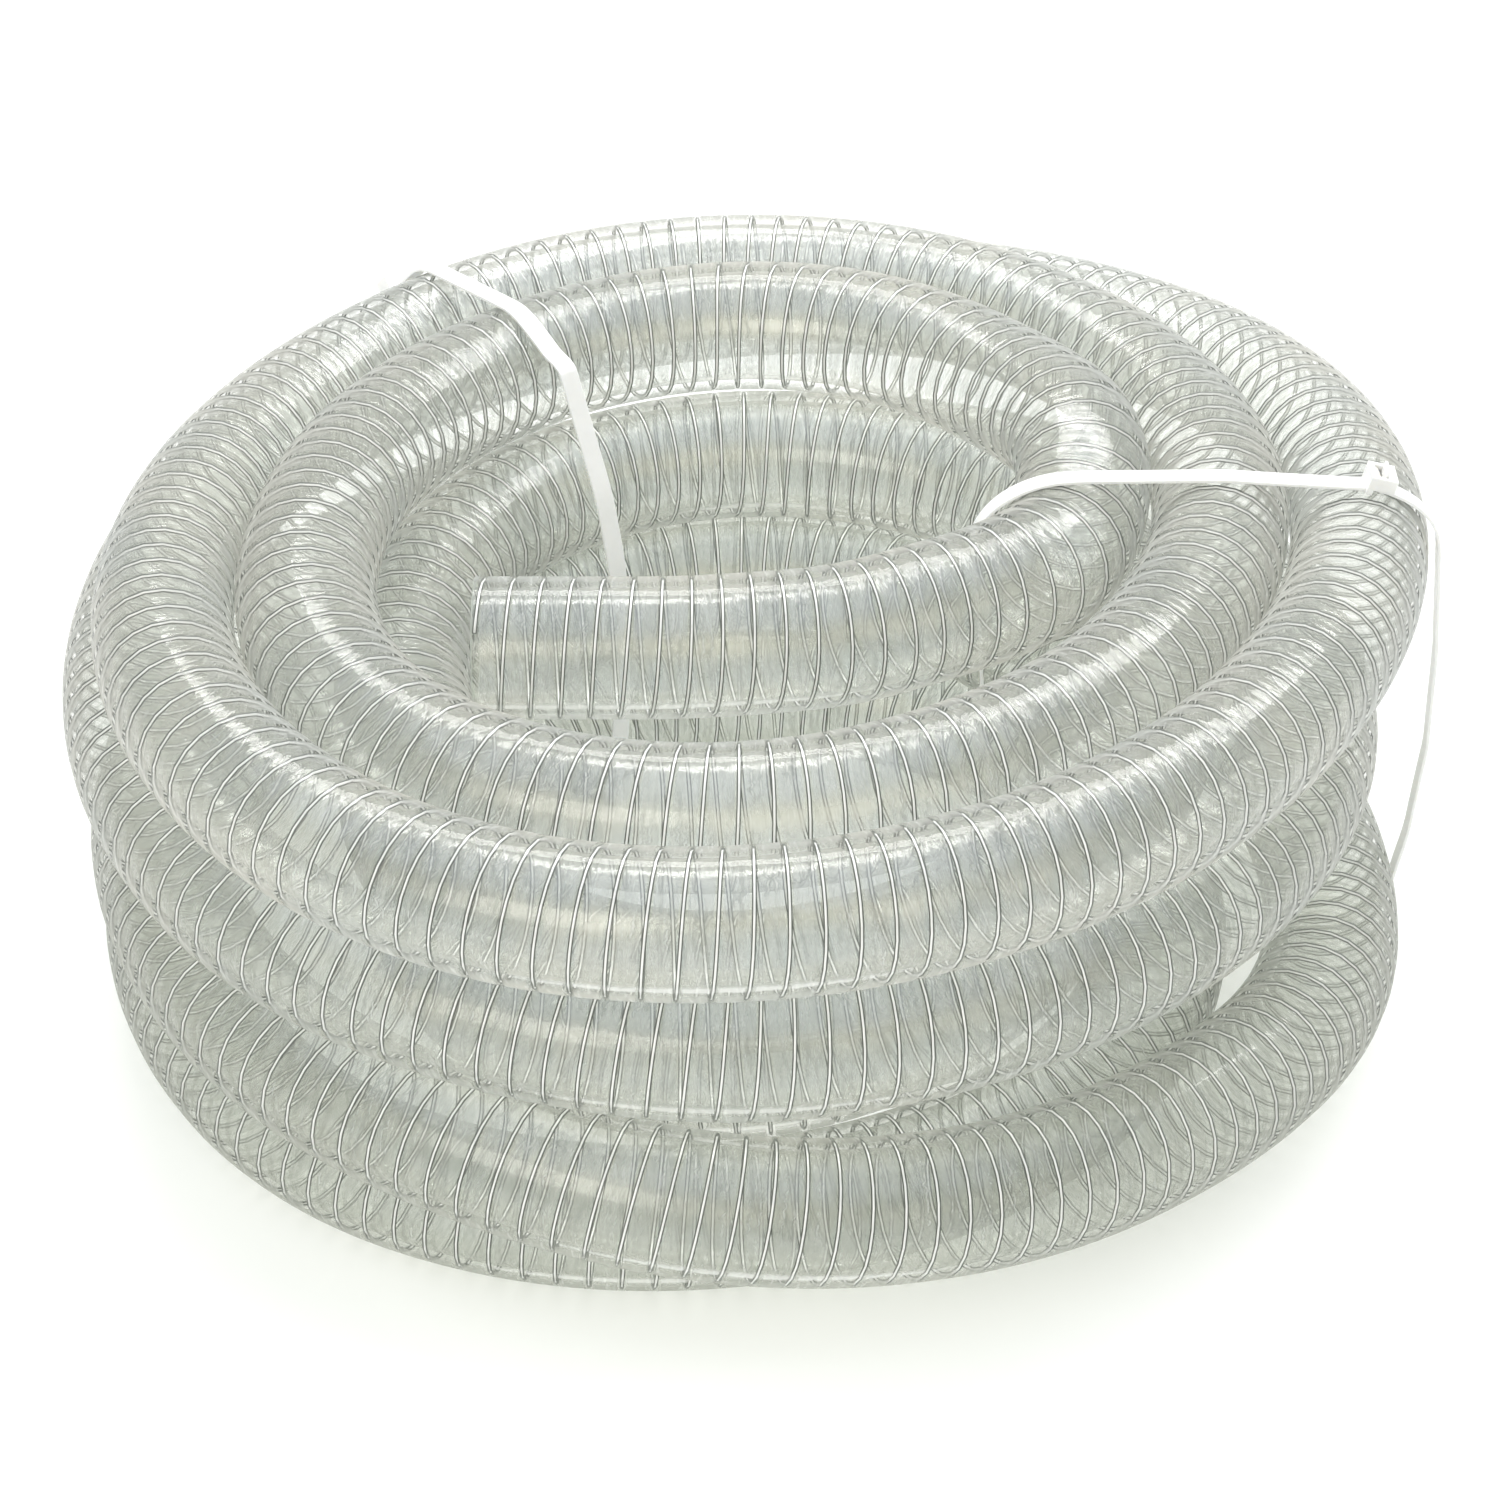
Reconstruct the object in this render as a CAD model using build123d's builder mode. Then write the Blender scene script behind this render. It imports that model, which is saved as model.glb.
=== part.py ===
"""Coil of clear PVC hose with a steel wire helix in its wall, held by two cable ties.

Millimetres, Z up, floor at z = 0, the coil's bounding box centred on the origin in plan.
The coil goes anticlockwise seen from above. Its free end lies on top and points along -X;
the other end is buried in the coil. The ties are loops in upright planes round the bundle.
"""
from build123d import *
import math
import os
import numpy as np

os.makedirs("parts", exist_ok=True)

# ---------------------------------------------------------------- hose
HOSE_OD = 60.0
HOSE_ID = 50.8              # 2 inch bore
WIRE_D = 1.3                # spring steel reinforcing wire
HELIX_R = (HOSE_OD + HOSE_ID) / 4   # the wire runs in the middle of the wall
HELIX_PITCH = 12.5          # advance per turn, left-handed
WIRE_COVER = 1.6            # PVC left beyond the wire at a cut end
SQUARE_WIRE = 1.15          # side of the coil's square wire, about the area of the round one
COIL_WIRE_LENGTHS = 3

FLOOR_GAP = 2.2             # the hose lies on the two straps, this far above the floor
END_STRAIGHT = 54.0         # straight length at the free end
FAR_STRAIGHT = 50.0         # straight length at the buried end
FAR_LEAD = 1.0              # part of the buried straight that belongs to the coil's wall
FAR_TURN_IN = 5.5           # degrees by which the buried end's heading lags the circle's
FAR_RISE = 0.03             # upward slope of the buried end
TAIL_JOINTS = 6             # flexing stations of the free end
TAIL_PITCH = 41.6           # spacing of the flexing stations
FLEX_GAP = 5.4              # free length left at each station

PLAN_SHIFT = (1.65, -12.83)     # coil's own axis, placed so that its box is centred

# Free end, x y z of the centreline about the coil's axis, from the end of the straight.
FREE_RUN = [
    (-64.0, -81.6, 209.3), (-40.0, -80.9, 208.9), (0.0, -76.6, 208.4), (35.0, -68.9, 207.7),
    (70.0, -53.6, 207.8), (100.0, -37.0, 207.9), (124.0, -16.2, 208.1), (137.4, 9.8, 208.8),
]

# Coil, radius and height of the centreline every LAY_STEP degrees, a quarter turn per line.
# Inner top turn, outer top turn, outer turns down to the floor, inward along the floor,
# then the inner column back up.
LAY_STEP = 22.5
LAY = [
    (155.2, 218.0), (168.2, 213.4), (181.6, 211.0), (190.7, 208.8),
    (192.1, 206.5), (187.8, 207.6), (186.1, 210.5), (190.0, 214.1),
    (202.1, 214.6), (212.5, 212.7), (212.3, 212.3), (205.2, 212.9),
    (195.9, 213.5), (189.9, 212.6), (190.1, 211.2), (200.0, 208.6),
    (217.3, 204.3), (235.3, 200.3), (250.6, 199.0), (255.5, 199.0),
    (253.1, 198.4), (248.3, 197.7), (246.3, 200.3), (250.9, 206.5),
    (263.5, 211.1), (273.8, 210.3), (274.8, 207.7), (267.3, 208.1),
    (257.9, 209.8), (251.3, 211.0), (251.3, 209.4), (261.7, 203.4),
    (278.9, 193.9), (294.5, 181.3), (304.0, 169.1), (304.1, 161.4),
    (298.4, 156.2), (289.9, 152.7), (281.5, 150.2), (274.9, 150.5),
    (274.4, 151.3), (274.9, 149.3), (268.6, 146.4), (263.2, 143.9),
    (255.6, 144.5), (249.9, 143.5), (246.1, 139.9), (242.2, 135.3),
    (239.4, 129.8), (236.8, 123.5), (236.2, 116.2), (238.3, 108.4),
    (242.8, 101.0), (249.3, 95.2), (256.7, 91.7), (264.2, 90.6),
    (271.4, 90.4), (277.7, 88.6), (279.4, 83.6), (278.4, 71.2),
    (272.0, 59.0), (265.6, 48.8), (264.6, 37.7), (259.9, 30.8),
    (259.6, 30.0), (260.0, 30.0), (261.2, 30.0), (262.7, 30.0),
    (264.1, 30.0), (265.3, 30.0), (266.1, 30.0), (266.2, 30.0),
    (265.4, 30.0), (262.5, 30.0), (249.4, 30.0), (232.4, 30.0),
    (217.6, 30.0), (204.1, 30.0), (191.5, 30.0), (179.0, 30.0),
    (167.2, 30.0), (157.2, 30.0), (150.2, 30.0), (146.1, 30.0),
    (144.2, 30.0), (143.9, 30.0), (144.9, 30.0), (146.7, 30.0),
    (148.8, 30.0), (150.8, 30.7), (151.9, 34.0), (152.1, 40.8),
    (151.4, 51.1), (150.7, 63.6), (150.7, 76.1), (152.4, 85.4),
    (154.9, 90.1), (156.8, 91.2), (157.5, 90.9), (157.3, 91.2),
    (155.9, 90.8), (154.6, 90.2), (155.6, 90.2), (157.6, 90.1),
    (160.0, 90.1), (162.6, 90.9), (165.4, 93.9), (168.3, 100.4),
    (171.2, 110.0), (173.7, 121.5), (175.5, 132.9), (176.3, 142.2),
    (175.8, 147.7), (174.2, 149.9), (172.2, 150.3), (169.8, 150.9),
    (166.0, 151.2), (160.9, 151.8), (155.4, 151.5), (155.0, 151.2),
    (160.4, 151.2), (167.4, 152.0),
]

# ---------------------------------------------------------------- cable ties
STRAP_T = 1.3
STRAP_W = 9.0
PAWL_W = 8.4                # width of the toothed locking tongue

# The head's section: x along the strap, outward from the coil's axis on the upper side;
# y away from the bundle, from the strap's inner face.
HEAD_L = 12.0               # along the strap
HEAD_W = 14.0               # across the strap
HEAD_BASE = 1.65            # underside of the head
HEAD_H = 8.0                # top of the head
SLOT_START, SLOT_END = -3.4, 1.9    # slot through the head
SLOT_W = 9.8                # slot across the strap
SLOT_LIFT = 0.8             # lower end of the slot
STRAP_CUT_Y, STRAP_CUT_H = -0.3, 3.9    # middle and height of the break in the strap
ROOT_Y, ROOT_H = 0.5, 2.4   # middle and height of the block joining strap and head
STUB_X = 0.35               # face of the trimmed strap end on the tongue's side
STUB_H = 11.0               # trimmed strap end standing out of the head
PAWL_PROFILE = [
    (-3.1, 7.0), (-2.0, 7.0), (-0.25, 5.4), (0.1, 5.0), (-0.25, 4.5), (0.1, 4.1),
    (-0.25, 3.4), (0.1, 3.0), (-0.5, 2.4), (-1.4, 2.9), (-3.1, 5.6), (-3.1, 7.0),
]
LOOP_POINTS = 120           # points that carry the strap's two outlines
HEAD_SEARCH_STEPS = 720
UPPER_SIDE_Z = 150          # a loop's upper side is above this

# Inner face of each tie, radius and height in its plane, anticlockwise with radius to the right.
TIE_RIGHT = [
    (94.1, 209.9), (95.2, 199.1), (96.3, 188.5), (97.4, 177.6), (98.5, 166.7), (99.4, 155.9),
    (100.2, 145.0), (100.9, 134.1), (101.5, 123.3), (102.6, 112.5), (103.8, 101.7), (105.0, 90.9),
    (106.5, 80.1), (109.6, 69.7), (112.6, 59.2), (115.6, 48.8), (118.6, 38.3), (126.5, 31.2),
    (135.1, 24.5), (143.6, 17.8), (152.2, 11.2), (161.0, 4.8), (171.3, 1.5), (182.1, 1.4),
    (193.0, 1.4), (203.9, 1.4), (214.7, 1.4), (225.6, 1.4), (236.5, 1.4), (247.4, 1.4),
    (258.2, 1.4), (269.0, 2.5), (278.6, 7.5), (286.0, 15.3), (290.7, 25.1), (292.8, 35.8),
    (294.9, 46.4), (296.5, 57.2), (297.4, 68.0), (298.4, 78.8), (299.4, 89.7), (300.4, 100.5),
    (300.4, 111.3), (300.3, 122.2), (300.2, 133.1), (300.1, 144.0), (299.8, 154.8), (299.0, 165.7),
    (298.3, 176.5), (297.5, 187.4), (296.7, 198.2), (295.8, 209.0), (292.3, 219.3), (285.5, 227.6),
    (276.4, 233.5), (266.2, 237.3), (255.4, 238.4), (244.6, 239.2), (233.8, 240.0), (222.9, 240.8),
    (212.1, 241.7), (201.2, 242.5), (190.4, 242.7), (179.5, 242.6), (168.6, 242.6), (157.8, 242.6),
    (146.9, 242.6), (136.0, 242.4), (125.2, 241.1), (115.0, 237.5), (105.5, 231.4), (98.0, 222.7),
]
TIE_LEFT = [
    (146.0, 227.0), (141.1, 217.5), (136.3, 207.9), (131.4, 198.4), (126.6, 188.9), (121.7, 179.4),
    (117.7, 169.5), (114.8, 159.2), (111.9, 148.9), (109.8, 138.5), (109.2, 127.8), (108.5, 117.2),
    (107.9, 106.5), (107.6, 95.8), (108.0, 85.1), (108.3, 74.4), (108.6, 63.7), (109.7, 53.1),
    (110.9, 42.5), (112.2, 31.9), (114.3, 21.4), (119.6, 12.2), (127.6, 5.2), (137.6, 1.6),
    (148.2, 1.4), (158.9, 1.4), (169.6, 1.4), (180.3, 1.4), (191.0, 1.4), (201.7, 1.4),
    (212.4, 1.4), (223.1, 1.4), (233.8, 1.4), (244.5, 1.4), (255.2, 1.4), (265.9, 1.4),
    (276.4, 2.9), (285.5, 8.3), (292.3, 16.5), (296.0, 26.5), (298.5, 36.9), (301.0, 47.3),
    (303.5, 57.7), (306.0, 68.1), (308.4, 78.5), (310.9, 88.9), (313.4, 99.3), (315.9, 109.7),
    (318.4, 120.1), (320.9, 130.5), (323.4, 140.9), (325.7, 151.3), (325.8, 161.9), (322.3, 172.0),
    (315.7, 180.3), (308.1, 187.8), (300.5, 195.4), (292.9, 202.9), (285.3, 210.4), (277.7, 217.9),
    (269.9, 225.2), (260.4, 230.1), (249.9, 232.1), (239.4, 233.6), (228.8, 235.2), (218.2, 236.8),
    (207.6, 238.4), (197.1, 239.9), (186.4, 240.6), (176.1, 238.1), (166.1, 234.4), (156.0, 230.7),
]
# name, degrees round the coil, loop, radius of the head on the loop's upper side
TIES = [
    ("right", 1.0, TIE_RIGHT, 268.0),
    ("left", 126.0, TIE_LEFT, 292.0),
]


def save(part, label):
    part.label = label
    export_step(part, f"parts/{label}.step")


def save_solid(solid, label):
    with BuildPart() as holder:
        add(solid)
    save(holder.part, label)


# ---------------------------------------------------------------- arcs in space
def unit(vec):
    return vec / np.linalg.norm(vec)


def spline_tangents(points, first_dir, last_dir):
    """Unit tangents of the smooth cubic through the points, with given end directions."""
    gaps = np.linalg.norm(np.diff(points, axis=0), axis=1)
    count = len(points)
    matrix = np.zeros((count, count))
    rhs = np.zeros((count, 3))
    matrix[0, 0] = matrix[-1, -1] = 1.0
    rhs[0], rhs[-1] = first_dir, last_dir
    for k in range(1, count - 1):
        before, after = gaps[k - 1], gaps[k]
        matrix[k, k - 1 : k + 2] = after, 2 * (before + after), before
        rhs[k] = 3 * (
            after * (points[k] - points[k - 1]) / before
            + before * (points[k + 1] - points[k]) / after
        )
    slopes = np.linalg.solve(matrix, rhs)
    return slopes / np.linalg.norm(slopes, axis=1)[:, None]


class Piece:
    """A circular arc, or a straight line, leaving start along a unit tangent to reach end."""

    def __init__(self, start, tangent, end):
        chord = end - start
        ahead = float(chord @ tangent)
        sideways = chord - ahead * tangent
        offset = float(np.linalg.norm(sideways))
        self.start, self.tangent = start, tangent
        if offset < 1e-6 * np.linalg.norm(chord):
            self.radius = None
            self.length = float(np.linalg.norm(chord))
        else:
            self.normal = sideways / offset
            self.radius = float(chord @ chord) / (2 * offset)
            self.length = self.radius * 2 * math.atan2(offset, ahead)

    def at(self, dist):
        """Position, tangent and curvature vector at an arc length."""
        if self.radius is None:
            return self.start + self.tangent * dist, self.tangent, np.zeros(3)
        angle = dist / self.radius
        cos, sin = math.cos(angle), math.sin(angle)
        return (
            self.start + self.radius * (self.tangent * sin + self.normal * (1 - cos)),
            self.tangent * cos + self.normal * sin,
            (self.normal * cos - self.tangent * sin) / self.radius,
        )

    def edge(self, begin, finish):
        """The stretch between two arc lengths as an edge."""
        first, mid, last = (
            tuple(self.at(dist)[0]) for dist in (begin, (begin + finish) / 2, finish)
        )
        if self.radius is None:
            return Edge.make_line(first, last)
        return Edge.make_three_point_arc(first, mid, last)


def biarc(start, start_dir, end, end_dir):
    """Two arcs that leave start along start_dir, meet smoothly and reach end along end_dir."""
    chord = end - start
    ahead = float(chord @ (start_dir + end_dir))
    square = float(chord @ chord)
    bend = 2 * (1 - float(start_dir @ end_dir))
    if bend < 1e-9:
        leg = square / (2 * ahead)
    else:
        leg = (math.sqrt(ahead * ahead + bend * square) - ahead) / bend
    joint = (start + leg * start_dir + end - leg * end_dir) / 2
    joint_dir = unit(end - leg * end_dir - start - leg * start_dir)
    return [Piece(start, start_dir, joint), Piece(joint, joint_dir, end)]


# ---------------------------------------------------------------- hose centreline
def lay_point(index, radius, z):
    angle = math.radians(LAY_STEP * (index + 1))
    return (radius * math.cos(angle), radius * math.sin(angle), z)


knots = np.array(FREE_RUN + [lay_point(k, radius, z) for k, (radius, z) in enumerate(LAY)])
knots = knots + np.array([*PLAN_SHIFT, FLOOR_GAP])
free_dir = np.array([1.0, 0.0, 0.0])
far_heading = math.radians(LAY_STEP * len(LAY) + 90.0 - FAR_TURN_IN)
far_dir = unit(np.array([math.cos(far_heading), math.sin(far_heading), FAR_RISE]))
knot_dirs = spline_tangents(knots, free_dir, far_dir)

pieces = [Piece(knots[0] - END_STRAIGHT * free_dir, free_dir, knots[0])]
for k in range(len(knots) - 1):
    pieces += biarc(knots[k], knot_dirs[k], knots[k + 1], knot_dirs[k + 1])
pieces.append(Piece(knots[-1], far_dir, knots[-1] + FAR_STRAIGHT * far_dir))
piece_starts = np.concatenate([[0.0], np.cumsum([piece.length for piece in pieces])])
hose_length = float(piece_starts[-1])


def locate(dist):
    """Position, tangent and curvature vector of the centreline."""
    k = int(np.searchsorted(piece_starts, dist, side="right")) - 1
    k = min(max(k, 0), len(pieces) - 1)
    return pieces[k].at(dist - piece_starts[k])


def carried_normals():
    """Normals that don't spin about the centreline, carried along in 1 mm steps."""
    normals = []
    normal = unit(np.cross(free_dir, [0.0, 0.0, 1.0]))
    for k in range(int(hose_length) + 2):
        tangent = locate(min(float(k), hose_length))[1]
        normal = unit(normal - tangent * float(normal @ tangent))
        normals.append(normal)
    return np.array(normals)


frame_normals = carried_normals()


def frame_at(dist):
    """Position, tangent, curvature vector, normal and binormal of the centreline."""
    point, tangent, curvature = locate(dist)
    k = min(int(dist), len(frame_normals) - 2)
    normal = frame_normals[k] + (frame_normals[k + 1] - frame_normals[k]) * (dist - k)
    normal = unit(normal - tangent * float(normal @ tangent))
    return point, tangent, curvature, normal, np.cross(tangent, normal)


def section_plane(dist):
    point, tangent, _, normal, _ = frame_at(dist)
    return Plane(origin=tuple(point), x_dir=tuple(normal), z_dir=tuple(tangent))


def centreline(begin, finish):
    """The centreline between two arc lengths as a wire."""
    edges = []
    for piece_start, piece in zip(piece_starts, pieces):
        first = max(begin - piece_start, 0.0)
        last = min(finish - piece_start, piece.length)
        if last - first > 1e-3:
            edges.append(piece.edge(first, last))
    return Wire(edges)


# ---------------------------------------------------------------- hose wall
def hose_wall(begin, finish):
    """Clear PVC tube between two arc lengths: outer skin, bore and two cut faces."""
    path = centreline(begin, finish)
    skins = []
    for radius in (HOSE_OD / 2, HOSE_ID / 2):
        ring = Wire.make_circle(radius, section_plane(begin))
        skins.append(Solid.sweep(ring, path, make_solid=False))
    faces = [face for skin in skins for face in skin.faces()]
    for end in (begin, finish):
        centre = Vector(*locate(end)[0])
        # each skin's rim here is its closed edge centred on the centreline's end
        outer_rim, bore_rim = (
            [
                edge for edge in skin.edges()
                if edge.is_closed and (edge.center(CenterOf.MASS) - centre).length < 0.2
            ][0]
            for skin in skins
        )
        faces.append(Face(Wire([outer_rim]), [Wire([bore_rim])]))
    return Solid(Shell(faces))


# ---------------------------------------------------------------- reinforcing wire
def helix_point(dist):
    """Point and unit tangent of the wire helix at a centreline length."""
    point, tangent, curvature, normal, binormal = frame_at(dist)
    twist = -2 * math.pi / HELIX_PITCH
    cos, sin = math.cos(twist * dist), math.sin(twist * dist)
    radial = normal * cos + binormal * sin
    helix_dir = (
        tangent * (1 - HELIX_R * float(curvature @ radial))
        + HELIX_R * twist * (binormal * cos - normal * sin)
    )
    return point + HELIX_R * radial, unit(helix_dir)


def round_wire(begin, finish, per_turn=3):
    """Round wire of the helix between two centreline lengths, swept along smooth arcs."""
    count = max(2, round((finish - begin) / HELIX_PITCH * per_turn))
    marks = [helix_point(begin + (finish - begin) * k / count) for k in range(count + 1)]
    edges = []
    for mark, next_mark in zip(marks[:-1], marks[1:]):
        edges += [arc.edge(0.0, arc.length) for arc in biarc(*mark, *next_mark)]
    start = Plane(origin=tuple(marks[0][0]), z_dir=tuple(marks[0][1]))
    return Solid.sweep(Face(Wire.make_circle(WIRE_D / 2, start)), Wire(edges))


def wire_corners(dist):
    """Four corners of the wire's square section at a centreline length."""
    point, tangent = helix_point(dist)
    radial = point - locate(dist)[0]
    radial = unit(radial - tangent * float(radial @ tangent))
    side = np.cross(tangent, radial)
    half = SQUARE_WIRE / 2
    return [
        point + out * half * radial + across * half * side
        for out, across in ((1, 1), (1, -1), (-1, -1), (-1, 1))
    ]


def corner_dirs(dist, step=0.01, speed=1.026):
    """End tangents of the corner splines; speed is arc over chord for an eighth of a turn."""
    pairs = zip(wire_corners(dist - step), wire_corners(dist + step))
    return [Vector(*(speed * unit(after - before))) for before, after in pairs]


def square_wire(begin, finish, turns=2, per_turn=8):
    """The wire over a long stretch, square so that it stays light: four ruled sides per span."""
    count = max(1, round((finish - begin) / HELIX_PITCH / turns))
    marks = [begin + (finish - begin) * k / count for k in range(count + 1)]
    faces = []
    for first, last in zip(marks[:-1], marks[1:]):
        steps = max(4, round((last - first) / HELIX_PITCH * per_turn))
        rows = [wire_corners(first + (last - first) * k / steps) for k in range(steps + 1)]
        first_dirs, last_dirs = corner_dirs(first), corner_dirs(last)
        sides = [
            Edge.make_spline(
                [Vector(*row[k]) for row in rows],
                tangents=[first_dirs[k], last_dirs[k]],
                scale=False,
            )
            for k in range(4)
        ]
        faces += [Face.make_surface_from_curves(sides[k], sides[(k + 1) % 4]) for k in range(4)]
    for end in (begin, finish):
        corners = [Vector(*corner) for corner in wire_corners(end)]
        faces.append(Face(Wire.make_polygon(corners, close=True)))
    return Solid(Shell(faces))


# ---------------------------------------------------------------- free end, in flexing lengths
stations = [END_STRAIGHT + TAIL_PITCH * k for k in range(TAIL_JOINTS)]
tail_begins = [0.0] + [station + FLEX_GAP / 2 for station in stations[:-1]]
tail_finishes = [station - FLEX_GAP / 2 for station in stations]

for k, (begin, finish) in enumerate(zip(tail_begins, tail_finishes), start=1):
    save_solid(hose_wall(begin, finish), f"hose_wall_tail_{k}")
    save_solid(round_wire(begin + WIRE_COVER, finish - WIRE_COVER), f"steel_helix_tail_{k}")

# ---------------------------------------------------------------- coil
coil_start = stations[-1] + FLEX_GAP / 2
far_start = hose_length - FAR_STRAIGHT + FAR_LEAD
save_solid(hose_wall(coil_start, far_start), "hose_wall_coil")

# the coil's wire, in lengths laid end to end
coil_wire_run = far_start - coil_start - 2 * WIRE_COVER
wire_marks = [
    coil_start + WIRE_COVER + coil_wire_run * k / COIL_WIRE_LENGTHS
    for k in range(COIL_WIRE_LENGTHS + 1)
]
for k, (begin, finish) in enumerate(zip(wire_marks[:-1], wire_marks[1:]), start=1):
    save_solid(square_wire(begin, finish), f"steel_helix_coil_{k}")

# ---------------------------------------------------------------- buried end, straight
with BuildPart() as far_wall:
    with BuildSketch(section_plane(far_start)):
        Circle(HOSE_OD / 2)
        Circle(HOSE_ID / 2, mode=Mode.SUBTRACT)
    extrude(amount=hose_length - far_start)
save(far_wall.part, "hose_wall_far_end")
save_solid(round_wire(far_start + WIRE_COVER, hose_length - WIRE_COVER), "steel_helix_far_end")


# ---------------------------------------------------------------- cable ties
def tie_layout(angle, loop, head_radius):
    """Upright plane of a tie, its inner and outer outlines, and the plane of its head."""
    turn = math.radians(angle)
    upright = Plane(
        origin=(*PLAN_SHIFT, 0.0),
        x_dir=(math.cos(turn), math.sin(turn), 0),
        z_dir=(math.sin(turn), -math.cos(turn), 0),
    )
    curve = Spline(*[Vector(radius, z) for radius, z in loop], periodic=True, mode=Mode.PRIVATE)
    inner, outer = [], []
    for k in range(LOOP_POINTS):
        point, tangent = curve.position_at(k / LOOP_POINTS), curve.tangent_at(k / LOOP_POINTS)
        inner.append((point.X, point.Y))
        outer.append((point.X + STRAP_T * tangent.Y, point.Y - STRAP_T * tangent.X))

    # the head sits where the upper side passes closest to its radius
    fractions = [k / HEAD_SEARCH_STEPS for k in range(HEAD_SEARCH_STEPS)]
    where = min(
        (f for f in fractions if curve.position_at(f).Y > UPPER_SIDE_Z),
        key=lambda f: abs(curve.position_at(f).X - head_radius),
    )
    point, tangent = curve.position_at(where), curve.tangent_at(where)
    along = upright.x_dir * -tangent.X + upright.y_dir * -tangent.Y
    away = upright.x_dir * tangent.Y + upright.y_dir * -tangent.X
    head = Plane(
        origin=upright.from_local_coords(Vector(point.X, point.Y, 0)),
        x_dir=along,
        z_dir=along.cross(away),
    )
    return upright, inner, outer, head


def cable_tie(upright, inner, outer, head):
    """Strap, head and trimmed end as one moulding."""
    with BuildPart() as tie:
        with BuildSketch(upright):
            with BuildLine():
                Spline(*outer, periodic=True)
            make_face()
            with BuildLine():
                Spline(*inner, periodic=True)
            make_face(mode=Mode.SUBTRACT)
        extrude(amount=STRAP_W / 2, both=True)
        # break in the strap under the slot
        with BuildSketch(head):
            with Locations(((SLOT_START + STUB_X) / 2, STRAP_CUT_Y)):
                Rectangle(STUB_X - SLOT_START, STRAP_CUT_H)
        extrude(amount=STRAP_W, both=True, mode=Mode.SUBTRACT)
        # head, and the block that joins it to the strap's root
        with BuildSketch(head):
            with Locations((0, (HEAD_H + HEAD_BASE) / 2)):
                Rectangle(HEAD_L, HEAD_H - HEAD_BASE)
            with Locations(((SLOT_START - HEAD_L / 2) / 2, ROOT_Y)):
                Rectangle(HEAD_L / 2 + SLOT_START, ROOT_H)
        extrude(amount=HEAD_W / 2, both=True)
        # slot
        with BuildSketch(head):
            with Locations(((SLOT_START + SLOT_END) / 2, HEAD_H / 2 + SLOT_LIFT)):
                Rectangle(SLOT_END - SLOT_START, HEAD_H)
        extrude(amount=SLOT_W / 2, both=True, mode=Mode.SUBTRACT)
        # trimmed strap end through the slot
        with BuildSketch(head):
            with Locations((STUB_X + STRAP_T / 2, STUB_H / 2)):
                Rectangle(STRAP_T, STUB_H)
        extrude(amount=STRAP_W / 2, both=True)
    return tie.part


def tie_pawl(head):
    """Toothed tongue that locks on the strap, hung at the top of the slot."""
    with BuildPart() as pawl:
        with BuildSketch(head):
            with BuildLine():
                Polyline(*PAWL_PROFILE)
            make_face()
        extrude(amount=PAWL_W / 2, both=True)
    return pawl.part


for name, angle, loop, head_radius in TIES:
    upright, inner, outer, head = tie_layout(angle, loop, head_radius)
    save(cable_tie(upright, inner, outer, head), f"cable_tie_{name}")
    save(tie_pawl(head), f"tie_pawl_{name}")
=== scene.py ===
"""Coil of clear PVC hose with a steel wire helix in its wall, held by two nylon cable ties.

The coil lies on the floor (z = 0) and winds anticlockwise, seen from above, about a vertical
axis at PLAN_SHIFT. Its free end crosses the top, with its mouth at -X, and the camera looks
from the front (-Y) and above. Hose sizes are in mm; meshes are built in metres.
"""
import math
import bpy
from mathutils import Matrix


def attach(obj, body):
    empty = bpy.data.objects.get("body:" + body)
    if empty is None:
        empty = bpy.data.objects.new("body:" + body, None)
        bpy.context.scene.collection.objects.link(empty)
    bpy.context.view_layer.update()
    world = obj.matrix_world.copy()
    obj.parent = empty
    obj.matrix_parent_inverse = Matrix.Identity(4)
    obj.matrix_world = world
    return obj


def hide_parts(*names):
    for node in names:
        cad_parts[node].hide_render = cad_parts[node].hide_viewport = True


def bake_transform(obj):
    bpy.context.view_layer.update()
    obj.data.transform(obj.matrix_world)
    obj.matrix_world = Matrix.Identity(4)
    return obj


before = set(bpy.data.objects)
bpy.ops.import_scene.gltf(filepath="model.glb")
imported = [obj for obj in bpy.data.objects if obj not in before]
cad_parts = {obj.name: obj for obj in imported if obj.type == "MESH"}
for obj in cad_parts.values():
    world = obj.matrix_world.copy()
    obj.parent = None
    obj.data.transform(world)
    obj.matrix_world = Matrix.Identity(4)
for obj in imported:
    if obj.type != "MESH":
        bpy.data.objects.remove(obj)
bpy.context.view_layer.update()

from types import SimpleNamespace

import bmesh
import bpy
import numpy as np
from mathutils import Vector

D = bpy.data
scene = bpy.context.scene

# ------------------------------------------------------------------ dimensions (mm)
MM = 0.001                    # metres in a millimetre
HOSE_R = 30.0
BORE_R = 25.4
WIRE_R = 0.98                 # as it shows, magnified by the thick wall
HELIX_R = 28.55
HELIX_PITCH = 12.5
FLOOR_GAP = 2.2
PLAN_SHIFT = (1.65, -12.83)   # x, y of the coil axis

MOUTH_STRAIGHT = 54.0         # straight length before the first knot
FAR_STRAIGHT = 50.0           # straight length after the last knot
FAR_TURN_OUT = 5.5            # degrees the far end points outside the tangent
FAR_RISE = 0.03               # upward part of the far end's direction

TAIL_JOINTS = 6
TAIL_PITCH = 41.6
TAIL_OVERRUN = 14.0           # the flexing part reaches this far past the last joint
BEND_REACH = 17.0             # greatest half length of a bend, before its margin
BEND_MARGIN = 1.0

COIL_PIECES = 3
WALL_INSET = 0.35             # the walls stop this far inside each end, for the crowned cut face
WIRE_INSET = 1.6              # the wire stops this far inside each end

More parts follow.
